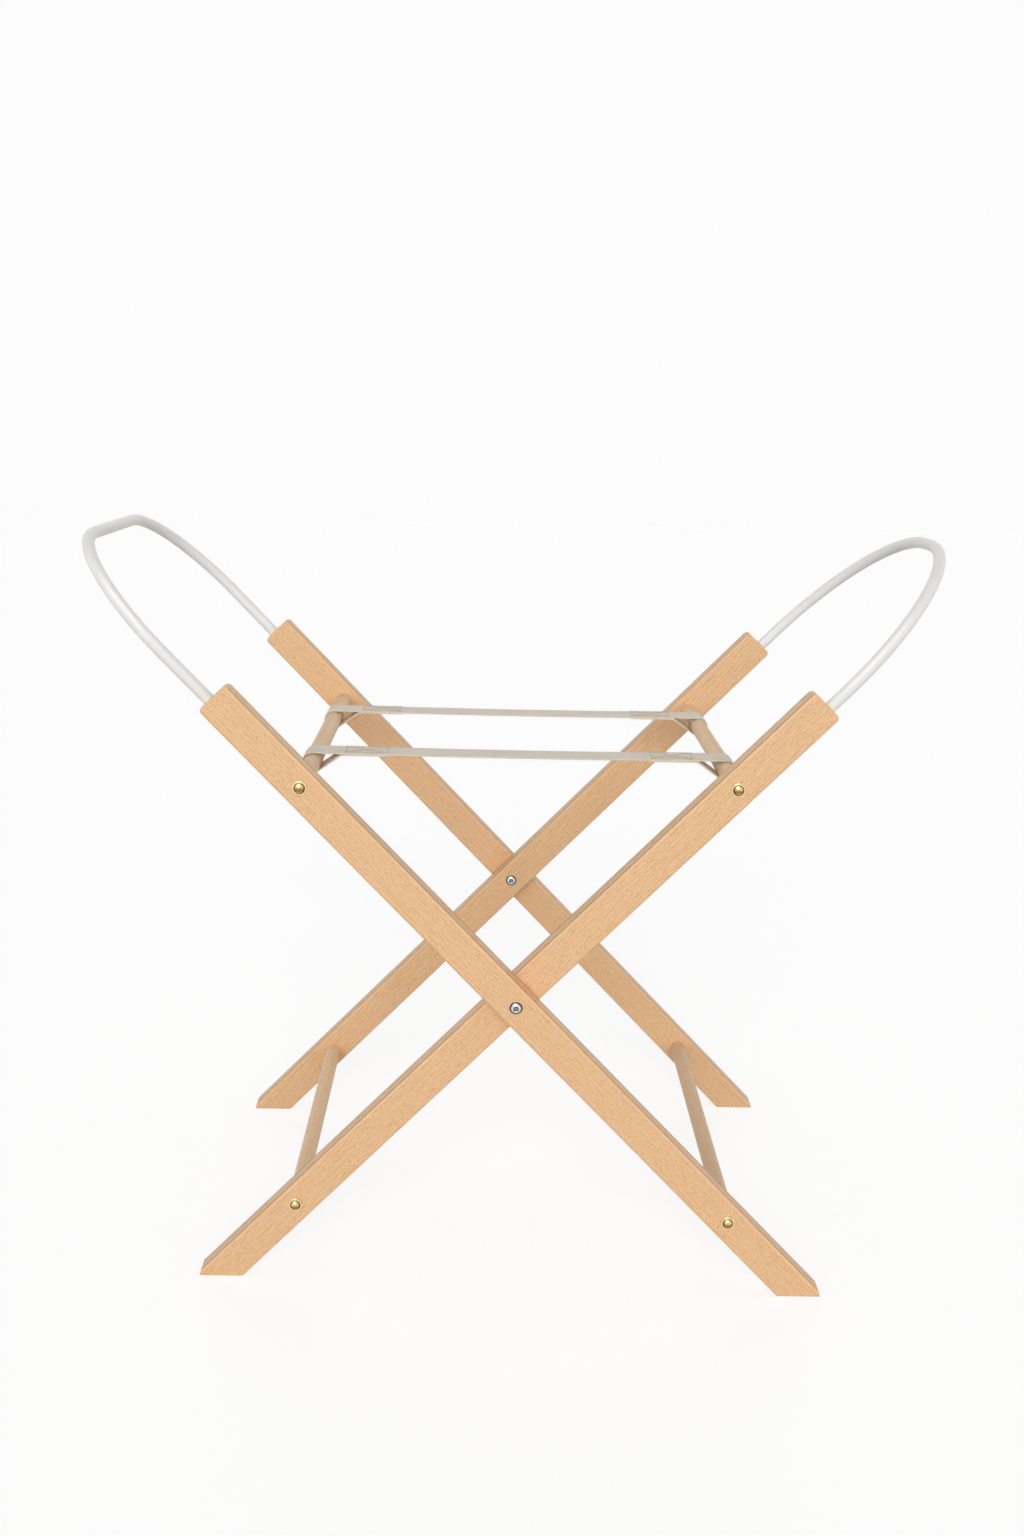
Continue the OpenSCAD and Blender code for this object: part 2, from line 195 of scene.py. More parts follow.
class StageSettings(PropertyGroup):
    """Camera, floor and light."""
    focal: optic("Focal length", "Focal length for a 36 mm high sensor", 34.637)
    place: position("Camera", "Place of the camera", (-0.031152, -1.432127, 0.812149))
    pitch: angle("Pitch", "How far the camera looks down", radians(13.897))
    yaw: angle("Yaw", "How far the camera looks to the right", radians(1.045))
    roll: angle("Roll", "How far the camera leans", radians(1.378))
    floor: length("Floor", "Half the side of the floor", 9.0)
    floor_white: number("Floor white", "How much light the floor gives back", 0.42)
    backdrop: number("Backdrop", "Brightness of the backdrop, 1 for white", 0.975)
    walls: number("Walls", "Light from all round at the horizon", 1.33)
    ceiling: number("Ceiling", "Light from straight above", 0.20)
    wall_reach: number("Wall reach", "Sine of the height at which the walls fade out", 0.73)
    key: number("Front light", "Strength of the front light", 1.38)
    key_from: direction("Front light from", "Direction towards the front light", (-0.05, -0.94, 0.33))
    fill: number("Rear light", "Strength of the rear light", 0.36)
    fill_from: direction("Rear light from", "Direction towards the rear light", (0.0, 0.80, 0.60))
    softness: angle("Softness", "Width of the front and rear lights in the sky", radians(38.0))
    gleam: number("Gleam", "Strength of the light that only glossy faces show", 2.6)
    gleam_from: direction("Gleam from", "Direction towards the gleam", (-0.20, -0.50, 0.84))
    gleam_width: angle("Gleam width", "Width of the gleam in the sky", radians(56.0))


class StandSettings(PropertyGroup):
    """All the settings of the stand."""
    beech: PointerProperty(type=BeechSettings)
    bows: PointerProperty(type=BowSettings)
    fixings: PointerProperty(type=FixingSettings)
    straps: PointerProperty(type=StrapSettings)
    stage: PointerProperty(type=StageSettings)


# Node trees

class NodeMaker:
    """Short ways to add nodes to a tree."""

    def __init__(self, tree):
        self.tree = tree

    def feed(self, socket, value):
        """Links a socket to another one, or sets it."""
        if isinstance(value, bpy.types.NodeSocket):
            self.tree.links.new(value, socket)
        elif socket.type == "RGBA" and len(value) == 3:
            socket.default_value = (*value, 1.0)
        else:
            socket.default_value = value

    def node(self, kind, inputs=None, **choices):
        """Adds a node with its choices and inputs. A short kind means a shader node."""
        made = self.tree.nodes.new(kind if "Node" in kind else f"ShaderNode{kind}")
        for key, value in choices.items():
            setattr(made, key, value)
        for key, value in (inputs or {}).items():
            self.feed(made.inputs[key], value)
        return made

    def first(self, kind, inputs=None, **choices):
        """Adds a node and gives its first output."""
        return self.node(kind, inputs, **choices).outputs[0]

    def math(self, operation, *values):
        """Result of one sum."""
        return self.first("Math", dict(enumerate(values)), operation=operation)

    def times(self, value, factor):
        """One value times another."""
        return self.math("MULTIPLY", value, factor)

    def weighted(self, value, weight, rest):
        """A value times its weight, on top of the rest."""
        return self.math("MULTIPLY_ADD", value, weight, rest)

    def vector(self, operation, *values):
        """Result of one sum on vectors."""
        made = self.node("VectorMath", dict(enumerate(values)), operation=operation)
        return made.outputs["Value" if operation == "LENGTH" else "Vector"]

    def split(self, vector):
        """The three parts of a vector."""
        return self.node("SeparateXYZ", {"Vector": vector}).outputs


class Finish(NodeMaker):
    """A procedural material in the making."""

    def __init__(self, name, **shader):
        self.material = bpy.data.materials.new(name)
        self.material.use_nodes = True
        super().__init__(self.material.node_tree)
        self.shader = next(n for n in self.tree.nodes if n.type == "BSDF_PRINCIPLED")
        for key, value in shader.items():
            self.shader.inputs[key.replace("_", " ").title().replace("Ior", "IOR")].default_value = value
        self.place = self.node("TexCoord").outputs["Object"]

    def noise(self, vector, scale, detail=2.0, rough=0.5):
        """Soft noise from 0 to 1, with one scale or one for each axis."""
        if isinstance(scale, tuple):
            vector, scale = self.vector("MULTIPLY", vector, scale), 1.0
        return self.first("TexNoise", {
            "Vector": vector, "Scale": scale, "Detail": detail, "Roughness": rough})

    def ramp(self, value, low, high, first=0.0, last=1.0):
        """Smooth change from first to last while the value goes from low to high."""
        return self.first("MapRange", {
            "Value": value, "From Min": low, "From Max": high, "To Min": first, "To Max": last,
        }, interpolation_type="SMOOTHSTEP")

    def mix(self, share, one, other):
        """Colour between two others. A Mix node has its colours at these places."""
        return self.node("Mix", {0: share, 6: one, 7: other}, data_type="RGBA").outputs[2]

    def give(self, base, rough, height, strength, depth):
        """Links colour, roughness and relief to the shader."""
        relief = self.first("Bump", {"Height": height, "Strength": strength, "Distance": depth})
        for key, value in (("Base Color", base), ("Roughness", rough), ("Normal", relief)):
            self.feed(self.shader.inputs[key], value)
        return self.material


class Recipe(NodeMaker):
    """A geometry node tree with named inputs."""

    def __init__(self, name, **sockets):
        super().__init__(bpy.data.node_groups.new(name, "GeometryNodeTree"))
        face = self.tree.interface
        for way in ("INPUT", "OUTPUT"):
            face.new_socket("Geometry", in_out=way, socket_type="NodeSocketGeometry")
        self.names = {}
        for key, kind in {**sockets, "finish": "Material"}.items():
            label = key.replace("_", " ").capitalize()
            made = face.new_socket(label, in_out="INPUT", socket_type=f"NodeSocket{kind}")
            self.names[key] = made.identifier
        self.start, *given = self.node("NodeGroupInput").outputs
        self.inputs = dict(zip(self.names, given))

    def end(self, geometry):
        """Realises the instances, shades them smooth and sets the material."""
        for kind, inputs in (("GeometryNodeRealizeInstances", {}),
                             ("GeometryNodeSetShadeSmooth", {"Shade Smooth": True}),
                             ("GeometryNodeSetMaterial", {"Material": self.inputs["finish"]})):
            geometry = self.first(kind, {"Geometry": geometry, **inputs})
        self.node("NodeGroupOutput", {0: geometry})
        return self

    def make(self, name, points, lines=(), **values):
        """Runs the tree on loose points and lines, and gives the result as a mesh object."""
        seed_mesh = bpy.data.meshes.new(f"{name}_seed")
        seed_mesh.from_pydata(points, lines, [])
        carrier = placed(f"{name}_carrier", seed_mesh)
        modifier = carrier.modifiers.new("recipe", "NODES")
        modifier.node_group = self.tree
        for key, value in values.items():
            modifier[self.names[key]] = value
        graph = bpy.context.evaluated_depsgraph_get()
        mesh = bpy.data.meshes.new_from_object(carrier.evaluated_get(graph), depsgraph=graph)
        bpy.data.objects.remove(carrier)
        if not mesh.polygons:
            raise RuntimeError(f"{name} came out empty")
        mesh.name = name
        return placed(name, mesh)


def placed(name, data):
    """Links a mesh, a camera or a light to the scene as an object at the origin."""
    piece = bpy.data.objects.new(name, data)
    bpy.context.scene.collection.objects.link(piece)
    return piece


def dress(node, material):
    """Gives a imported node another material."""
    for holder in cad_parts[node].material_slots:
        holder.material = material


def toned(tint, share):
    """A colour made lighter or darker by a share."""
    return tuple(min(1.0, c * share) for c in tint)


# Finishes

# noises of the beech grain: scale across and along it, then detail and roughness if not the usual ones
GRAIN = {
    "wander": (16.0, 2.6),
    "jitter": (210.0, 70.0, 1.0),
    "breaks": (350.0, 210.0, 1.0),
    "streak": (420.0, 14.0, 2.0, 0.55),
    "dash": (740.0, 115.0, 1.5),
    "fibre": (1300.0, 480.0, 2.0, 0.6),
    "mottle": (42.0, 9.0, 3.0),
    "ray": (1250.0, 170.0, 1.0),
    "pores": (2300.0, 40.0),
}
# how far the rings are pushed about, in rings, and how much each part darkens the wood
WANDER_TURNS = 2.6
JITTER_TURNS = 1.7
RING_SHADE = 0.40
FIBRE_SHADE = 2.00
MOTTLE_SHADE = 0.12
FLECK_SHADE = 0.22
# how much the painted highlight along the upper edges, the painted shade along the lower edges and the lines
# of painted shade on the upper narrow face show on a leg
EDGE_HIGHLIGHT_SHARE = 0.70
LOWER_SHADE_SHARE = 0.55
STRIP_EDGE_SHADE_SHARE = 0.65


def beech(name, wood, turn, origin, pith, tone, up=0.0):
    """Beech with its grain along the piece: rings about a far pith, streaks, ray flecks, and on a leg
    smoother wear, a painted highlight and painted shade along its edges.

    up is 1 or -1 for a leg whose side to +X or -X faces up, and 0 for a round bar.
    """
    look = Finish(name, coat_weight=0.05, coat_roughness=0.35, specular_ior_level=0.45 if up else 0.22)
    local = look.first("Mapping", {
        "Vector": look.place, "Rotation": turn, "Location": -(Euler(turn).to_matrix() @ origin)})
    shifted = look.vector("ADD", local, pith)

    def grain(kind):
        across, along, *rest = GRAIN[kind]
        return look.noise(shifted, (across, across, along), *rest)

    wander, jitter, breaks, streak = map(grain, ("wander", "jitter", "breaks", "streak"))
    dash, fibre, mottle, ray = map(grain, ("dash", "fibre", "mottle", "ray"))
    fleck = look.ramp(ray, 0.62, 0.72)

    # growth rings, pushed about and broken up so that no line runs far
    radius = look.vector("LENGTH", look.vector("MULTIPLY", shifted, (1.0, 1.0, 0.0)))
    turns = look.math("ADD", look.math("DIVIDE", radius, wood.ring_pitch), look.times(wander, WANDER_TURNS))
    turns = look.weighted(jitter, JITTER_TURNS, turns)
    wave = look.math("SINE", look.times(turns, 2.0 * pi))
    ring = look.times(wave, look.ramp(breaks, 0.36, 0.62, 0.05, 1.0))

    shade = look.weighted(ring, RING_SHADE, look.ramp(streak, 0.30, 0.72, 0.02, 0.07))
    shade = look.math("ADD", look.ramp(dash, 0.30, 0.70, 0.11, 0.31), shade)
    for part, weight in ((fibre, FIBRE_SHADE), (mottle, MOTTLE_SHADE)):
        shade = look.weighted(look.math("SUBTRACT", part, 0.5), weight, shade)
    # round crossbars take the lighter copy of the beech colours, which is painted light
    early, late = (wood.early, wood.late) if up else (wood.bar_early_lightened, wood.bar_late_lightened)
    tint = look.mix(shade, toned(early, tone), toned(late, tone))
    tint = look.mix(look.times(fleck, FLECK_SHADE), tint, toned(wood.fleck, tone))
    rough = look.weighted(dash, 0.16, 0.40)

    if up:
        x, y, z = look.split(local)
        x, y = look.times(x, up), look.math("ABSOLUTE", y)
        side, face, edge = wood.leg_w / 2, wood.leg_t / 2, wood.edge
        outer = look.ramp(y, face - 0.8 * edge, face - 0.1 * edge)
        # along the upper edges a leg is smoother from wear, and paler there as a painted highlight along the
        # arris
        wear_and_highlight = look.times(look.ramp(x, side - 2.2 * edge, side - 0.9 * edge), outer)
        wear_and_highlight = look.times(wear_and_highlight, look.ramp(mottle, 0.35, 0.65, 0.45, 1.0))
        rough = look.weighted(wear_and_highlight, -0.1, rough)
        # painted shade along the lower edges
        lower = look.times(look.ramp(x, 0.3 * edge - side, 1.6 * edge - side, 1.0, 0.0), outer)
        # lines of painted shade just inside both edges of the upper narrow face
        rim = look.ramp(y, face - 4.2 * edge, face - 2.2 * edge)
        strip_edge_shade = look.times(look.ramp(x, side - 0.3 * edge, side), rim)
        for part, share, shown in ((wear_and_highlight, EDGE_HIGHLIGHT_SHARE, toned(wood.early, tone * 1.10)),
                                   (lower, LOWER_SHADE_SHARE, toned(wood.lower_edge_shade, tone)),
                                   (strip_edge_shade, STRIP_EDGE_SHADE_SHARE, toned(wood.late, tone * 0.75))):
            tint = look.mix(look.times(part, share), tint, shown)
        # open end grain at the square top and under the foot
        top = look.ramp(z, wood.leg_rise - 0.6 * edge, wood.leg_rise - 0.1 * edge)
        foot = look.ramp(look.split(look.place)[2], 0.0002, 0.0007, 1.0, 0.0)
        cut = look.math("MAXIMUM", top, foot)
        open_grain = look.times(cut, look.ramp(grain("pores"), 0.3, 0.7, 0.45, 0.8))
        tint = look.mix(open_grain, tint, toned(wood.cut_end, tone))
        rough = look.weighted(cut, 0.15, rough)

    height = look.weighted(fibre, 0.55, look.times(dash, 0.6))
    height = look.weighted(fleck, -0.7, look.weighted(ring, 0.15, height))
    return look.give(tint, rough, height, strength=0.22, depth=0.00022)


def satin_lacquer(name, tint):
    """White stoved lacquer with faint orange peel, dull patches and hair scratches."""
    look = Finish(name, coat_weight=0.15, coat_roughness=0.2, specular_ior_level=0.4, sheen_weight=0.3,
                  sheen_roughness=0.4)
    cloud = look.noise(look.place, 22.0, detail=3.0)
    peel = look.noise(look.place, 620.0, detail=1.0)
    hair = look.ramp(look.noise(look.place, (420.0, 2600.0, 420.0)), 0.66, 0.78)
    dulled = tuple(part * share for part, share in zip(tint, (0.955, 0.945, 0.915)))
    base = look.mix(look.ramp(cloud, 0.3, 0.75, 0.0, 0.5), tint, dulled)
    rough = look.weighted(hair, 0.12, look.ramp(cloud, 0.25, 0.8, 0.30, 0.42))
    height = look.weighted(hair, -0.4, peel)
    return look.give(base, rough, height, strength=0.10, depth=0.00008)


def plated_metal(name, tint, shadow, rough, under, deep, level=0.06, top_rim=1.0):
    """Polished plating with fine scratches and dull blots, a painted reflection underneath and painted shade
    in sockets, seats and outlines.

    under is how dark the painted reflection gets where its normal sinks below the level, and deep how dark
    the painted shade of the painted_shade attribute gets. Where that faces up, top_rim is the share of it
    which stays.
    """
    look = Finish(name, metallic=1.0, specular_tint=(*toned(shadow, 1.3), 1.0), coat_weight=0.3,
                  coat_roughness=0.12)
    blot = look.noise(look.place, 240.0, detail=4.0, rough=0.6)
    scratch = look.noise(look.place, (900.0, 900.0, 5200.0))
    painted_shade = look.node("Attribute", attribute_name="painted_shade").outputs["Fac"]
    facing = look.split(look.node("TexCoord").outputs["Normal"])[2]
    base = look.mix(look.ramp(blot, 0.35, 0.75, 0.0, 0.45), tint, toned(tint, 0.80))
    # painted reflection: darker where the normal sinks below the level, as a dome mirrors a dark band round
    # it
    base = look.mix(look.ramp(facing, level - 0.45, level, under, 0.0), base, shadow)
    # painted reflection: lighter again towards the lower edge, as a dome mirrors the floor
    base = look.mix(look.ramp(facing, -0.66, -0.28, 0.7 * under, 0.0), base, tint)
    # painted shade in sockets, at seats and round outlines, from the painted_shade attribute, less where it
    # faces up
    dark = look.times(painted_shade, look.ramp(facing, 0.15, 0.65, deep, top_rim * deep))
    base = look.mix(dark, base, toned(shadow, 0.30))
    dull = look.weighted(blot, 0.16, look.weighted(painted_shade, 0.25, rough - 0.08))
    return look.give(base, dull, scratch, strength=0.08, depth=0.00004)


def moulded_nylon(name, tint):
    """Matt plastic with a fine moulded grain."""
    look = Finish(name)
    grain = look.noise(look.place, 1400.0)
    cloud = look.noise(look.place, 120.0)
    base = look.mix(cloud, toned(tint, 0.95), tint)
    return look.give(base, look.ramp(grain, 0.3, 0.7, 0.48, 0.62), grain, strength=0.12, depth=0.00006)


def woven_cotton(name, strap):
    """Ribbed webbing: warp ribs over weft threads, tight selvedges, fuzz and a little soiling."""
    look = Finish(name, sheen_weight=0.25, sheen_roughness=0.5, specular_ior_level=0.2)
    weave = look.first("UVMap", uv_map="weave")
    along, across, _ = look.split(weave)
    rib = look.times(across, 2.0 * pi / strap.warp)
    pick = look.times(along, 2.0 * pi / strap.weft)
    # every second rib floats half a pick later, as in a plain weave
    half_rib = look.math("SINE", look.times(rib, 0.5))
    crossing = look.times(look.math("SINE", pick), half_rib)
    ridge = look.math("ABSOLUTE", half_rib)
    height = look.weighted(crossing, 0.42, look.times(ridge, 0.6))
    fuzz = look.noise(weave, (900.0, 3600.0, 1.0), detail=3.0, rough=0.65)
    height = look.weighted(fuzz, 0.25, height)
    soil = look.noise(weave, (30.0, 60.0, 1.0), detail=3.0)
    selvedge = look.ramp(look.math("ABSOLUTE", across), 0.43 * strap.width, 0.47 * strap.width)

    # painted shade: darker in the valleys of the weave and lighter on its raised threads
    shade = look.weighted(look.ramp(height, -0.1, 0.85), 0.75, look.times(fuzz, 0.35))
    base = look.mix(shade, toned(strap.cotton, 0.66), toned(strap.cotton, 1.07))
    base = look.mix(look.ramp(soil, 0.45, 0.8, 0.0, 0.35), base, toned(strap.cotton, 0.82))
    base = look.mix(look.times(selvedge, 0.3), base, toned(strap.cotton, 0.9))
    return look.give(base, look.ramp(fuzz, 0.3, 0.7, 0.82, 0.95), height, strength=0.55, depth=0.00035)


def sewing_thread(name, tint):
    """Twisted thread."""
    look = Finish(name, sheen_weight=0.2, specular_ior_level=0.25)
    twist = look.noise(look.place, 2600.0)
    base = look.mix(look.ramp(twist, 0.3, 0.7), toned(tint, 0.8), toned(tint, 1.1))
    return look.give(base, look.ramp(twist, 0.3, 0.7, 0.7, 0.85), twist, strength=0.3, depth=0.0001)


# Turned shapes

TURNED_SIDES = 48
DOME_STEPS = 12
# hole of a washer as a share of its bolt, and the soft rim under a dome as a share of the head
WASHER_HOLE = 1.1
RIM_SHARE = 0.09
# painted shade at the dome's rim, as a dark outline: how strong it starts, with and without a key socket, and
# how much that fades at each ring
KEYED_RIM_SHADE = 2.2
PLAIN_RIM_SHADE = 1.75
RIM_FADE = 0.35


def turned(rings, loop=False):
    """Pattern of rings about Z, each (radius, height, painted shade), with a fourth entry if it is hexagonal.

    A loop closes on itself like a tyre. Otherwise both ends are closed with a fan.
    """
    points, painted_shade, faces = [], [], []
    sides, count = TURNED_SIDES, len(rings)
    for radius, height, deep, *hexagonal in rings:
        for i in range(sides):
            bearing = 2.0 * pi * i / sides
            reach = radius / cos((bearing + pi / 6.0) % (pi / 3.0) - pi / 6.0) if hexagonal else radius
            points.append((reach * cos(bearing), reach * sin(bearing), height))
            painted_shade.append(deep)
    for k in range(count if loop else count - 1):
        low, high = k * sides, (k + 1) % count * sides
        for i in range(sides):
            j = (i + 1) % sides
            faces.append((low + i, low + j, high + j, high + i))
    if not loop:
        for k, backward in ((0, True), (count - 1, False)):
            hub = len(points)
            points.append((0.0, 0.0, rings[k][1]))
            painted_shade.append(rings[k][2])
            for i in range(sides):
                here, beyond = k * sides + i, k * sides + (i + 1) % sides
                faces.append((hub, beyond, here) if backward else (hub, here, beyond))
    mesh = bpy.data.meshes.new("pattern")
    mesh.from_pydata(points, [], faces)
    held = mesh.attributes.new("painted_shade", "FLOAT", "POINT")
    held.data.foreach_set("value", painted_shade)
    mesh.update()
    return placed("pattern", mesh)


def domed_fixing(head_d, head_h, shank_d, shank_l, key_w=0.0, key_h=0.0):
    """Domed head on a round shank, with a key socket if it has a width. The head stands on Z = 0."""
    ball = ((head_d / 2.0) ** 2 + head_h ** 2) / (2.0 * head_h)

    def dome_radius(z):
        return sqrt(ball ** 2 - (ball - head_h + z) ** 2)

    def dome_height(r):
        return sqrt(ball ** 2 - r ** 2) - ball + head_h

    rim = RIM_SHARE * head_h
    rim_shade = KEYED_RIM_SHADE if key_w else PLAIN_RIM_SHADE
    mouth = 0.70 * key_w if key_w else 0.04 * head_d
    # the third entry of each ring is its painted shade: full under the head and at its seat, and a dark
    # outline at the dome's rim that fades up the dome
    rings = [
        (0.36 * shank_d, -shank_l, 0.0), (0.5 * shank_d, -shank_l + 0.14 * shank_d, 0.0),
        (0.5 * shank_d, 0.0, 1.0), (dome_radius(rim) - 0.5 * rim, 0.0, 1.0),
        (dome_radius(rim) - 0.1 * rim, 0.3 * rim, 1.0),
    ]
    top = dome_height(mouth)
    for i in range(DOME_STEPS + 1):
        z = rim + (top - rim) * sin(0.5 * pi * i / DOME_STEPS)
        rings.append((dome_radius(z), z, min(1.0, max(0.0, rim_shade - RIM_FADE * i))))
    if key_w:
        lip, floor = 0.06 * key_h, head_h - key_h
        # painted shade down the key socket, darkest near its floor
        rings += [
            (0.97 * mouth, top + 0.3 * lip, 0.05), (0.92 * mouth, top - 0.4 * lip, 0.2),
            (0.53 * key_w, top - 2.2 * lip, 0.75, True), (0.5 * key_w, top - 3.4 * lip, 0.9, True),
            (0.5 * key_w, floor, 1.0, True), (0.46 * key_w, floor - lip, 0.88, True),
            (0.12 * key_w, head_h - 1.12 * key_h, 0.6),
        ]
    return turned(rings)


def rounded_washer(outer_d, inner_d, thickness, head_d):
    """Flat washer with soft edges, lying on Z = 0, with painted shade where the head sits on it, round its
    hole and along its outer edge.
    """
    outer, hole, edge, head = outer_d / 2.0, inner_d / 2.0, 0.3 * thickness, head_d / 2.0
    # the third entry is painted shade: under the washer, round its hole, along its outer edge and where the
    # head sits on it
    section = [
        (hole, 0.4 * edge, 1.0), (hole + 0.4 * edge, 0.0, 1.0),
        (outer - 0.5 * edge, 0.0, 1.0), (outer - 0.1 * edge, 0.15 * edge, 0.8),
        (outer, 0.6 * edge, 1.0), (outer, thickness - 1.2 * edge, 0.8),
        (outer - 0.12 * edge, thickness - 0.7 * edge, 0.25),
        (outer - 0.5 * edge, thickness - 0.25 * edge, 0.0), (outer - 1.2 * edge, thickness, 0.0),
        (head + 0.12 * (outer - head), thickness, 0.0), (head, thickness, 0.9),
        (hole + 0.6 * edge, thickness, 1.0), (hole, thickness - 0.5 * edge, 1.0),
    ]
    return turned(section, loop=True)


# Recipes

def bent_tube():
    """Rounds the corners of a line and sweeps a tube along it."""
    plan = Recipe("bent_tube", bend_radius="Float", bend_steps="Int", tube_radius="Float", tube_sides="Int")
    line = plan.first("GeometryNodeMeshToCurve", {"Mesh": plan.start})
    bend = plan.first("GeometryNodeFilletCurve", {
        "Curve": line, "Radius": plan.inputs["bend_radius"], "Count": plan.inputs["bend_steps"]}, mode="POLY")
    ring = plan.first("GeometryNodeCurvePrimitiveCircle", {
        "Resolution": plan.inputs["tube_sides"], "Radius": plan.inputs["tube_radius"]})
    tube = plan.first("GeometryNodeCurveToMesh", {"Curve": bend, "Profile Curve": ring, "Fill Caps": True})
    return plan.end(tube)


def fixings_on_faces():
    """Sets a fixing on each point, facing front or rear, each turned by a chance angle."""
    plan = Recipe("fixings_on_faces", fixing="Object", facing="Float", stand_off="Float", seed="Int")
    spot = plan.split(plan.first("GeometryNodeInputPosition"))
    side = plan.times(plan.math("SIGN", spot[1]), plan.inputs["facing"])
    away = plan.first("CombineXYZ", {"Y": side})
    aimed = plan.first("FunctionNodeAlignRotationToVector", {"Vector": away}, axis="Z")
    # input 3 is the highest number that can come up, and output 1 the number that does
    chance = plan.node("FunctionNodeRandomValue", {
        "Seed": plan.inputs["seed"], 3: 2.0 * pi}, data_type="FLOAT").outputs[1]
    spin = plan.first("FunctionNodeAxisAngleToRotation", {"Axis": (0.0, 0.0, 1.0), "Angle": chance})
    pose = plan.first("FunctionNodeRotateRotation", {
        "Rotation": aimed, "Rotate By": spin}, rotation_space="LOCAL")
    lift = plan.first("VectorMath", {0: away, "Scale": plan.inputs["stand_off"]}, operation="SCALE")
    lifted = plan.first("GeometryNodeSetPosition", {"Geometry": plan.start, "Offset": lift})
    shape = plan.node("GeometryNodeObjectInfo", {"Object": plan.inputs["fixing"]}, transform_space="ORIGINAL")
    spread = plan.first("GeometryNodeInstanceOnPoints", {
        "Points": lifted, "Instance": shape.outputs["Geometry"], "Rotation": pose})
    return plan.end(spread)


def sewn_stitches():
    """Lays stitches end to end along lines."""
    plan = Recipe("sewn_stitches", pitch="Float", stitch_length="Float", thread_radius="Float")
    line = plan.first("GeometryNodeMeshToCurve", {"Mesh": plan.start})
    spots = plan.node("GeometryNodeCurveToPoints", {
        "Curve": line, "Length": plan.inputs["pitch"]}, mode="LENGTH").outputs
    bead = plan.first("GeometryNodeMeshUVSphere", {"Segments": 8, "Rings": 6, "Radius": 1.0})
    thick, half = plan.inputs["thread_radius"], plan.times(plan.inputs["stitch_length"], 0.5)
    size = plan.first("CombineXYZ", {"X": thick, "Y": thick, "Z": half})
    stitch = plan.first("GeometryNodeTransform", {"Geometry": bead, "Scale": size})
    sewn = plan.first("GeometryNodeInstanceOnPoints", {
        "Points": spots["Points"], "Instance": stitch, "Rotation": spots["Rotation"]})
    return plan.end(sewn)


# Operators

# each piece's own timber: its place in the log, measured from the pith, and how light its wood is; the tones
# differ a little at random, and the darker tones of the two rear legs and the outer lower crossbar are
# painted shade
LEG_TIMBER = {
    "outer_front_leg": ((0.052, 0.024, 0.31), 1.0),
    "outer_rear_leg": ((-0.047, 0.033, 1.72), 0.955),
    "inner_front_leg": ((-0.058, -0.019, 3.05), 0.99),
    "inner_rear_leg": ((0.044, -0.036, 4.41), 0.935),
}
BAR_TIMBER = {
    "outer_upper_crossbar": ((0.031, 0.022, 5.2), 0.95),
    "outer_lower_crossbar": ((-0.027, 0.029, 6.3), 0.87),
    "inner_upper_crossbar": ((0.024, -0.033, 7.1), 0.97),
    "inner_lower_crossbar": ((-0.035, -0.021, 8.6), 0.99),
}


class STAND_OT_dress_legs(Operator):
    """Finishes the four legs in beech, each from its own stretch of timber"""
    bl_idname = "cross_stand.dress_legs"
    bl_label = "Legs"

    def execute(self, context):
        wood = context.scene.cross_stand.beech
        for node, (pith, tone) in LEG_TIMBER.items():
            along = up_the_leg(node.split("_")[0])
            origin = Vector((PIVOT.x, middle_of(node).y, PIVOT.z))
            dress(node, beech(f"beech_{node}", wood, (0.0, -atan2(along.x, along.z), 0.0), origin, pith, tone,
                              up=copysign(1.0, -along.x)))
        return {"FINISHED"}


class STAND_OT_dress_crossbars(Operator):
    """Finishes the four crossbars in beech with the grain along them"""
    bl_idname = "cross_stand.dress_crossbars"
    bl_label = "Crossbars"

    def execute(self, context):
        wood = context.scene.cross_stand.beech
        for node, (pith, tone) in BAR_TIMBER.items():
            dress(node, beech(f"beech_{node}", wood, (0.5 * pi, 0.0, 0.0), middle_of(node), pith, tone))
        return {"FINISHED"}


class STAND_OT_bend_bows(Operator):
    """Bends the two white tubes that stand in the leg tops"""
    bl_idname = "cross_stand.bend_bows"
    bl_label = "Bows"

    def execute(self, context):
        stand = context.scene.cross_stand
        bow, wood = stand.bows, stand.beech
        lacquer = satin_lacquer("white_satin_lacquer", tuple(bow.lacquer))
        recipe = bent_tube()
        bends = {"outer": bow.outer_bend, "inner": bow.inner_bend}
        for side in FRAMES:
            along, root = up_the_leg(side), PIVOT + bow.offset * lower_side(side)
            start = root + (wood.leg_rise - bow.grip) * along
            peak = root + (wood.leg_rise + bow.rise) * along
            arm = Vector((0.0, middle_of(f"{side}_rear_leg").y, 0.0))
            tube = recipe.make(f"{side}_bent_bow", [start - arm, peak - arm, peak + arm, start + arm],
                               [(0, 1), (1, 2), (2, 3)], bend_radius=bends[side], bend_steps=bow.bend_steps,
                               tube_radius=bow.tube_d / 2.0, tube_sides=bow.sides, finish=lacquer)
            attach(tube, BODY[side])
            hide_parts(f"{side}_bow")
        return {"FINISHED"}


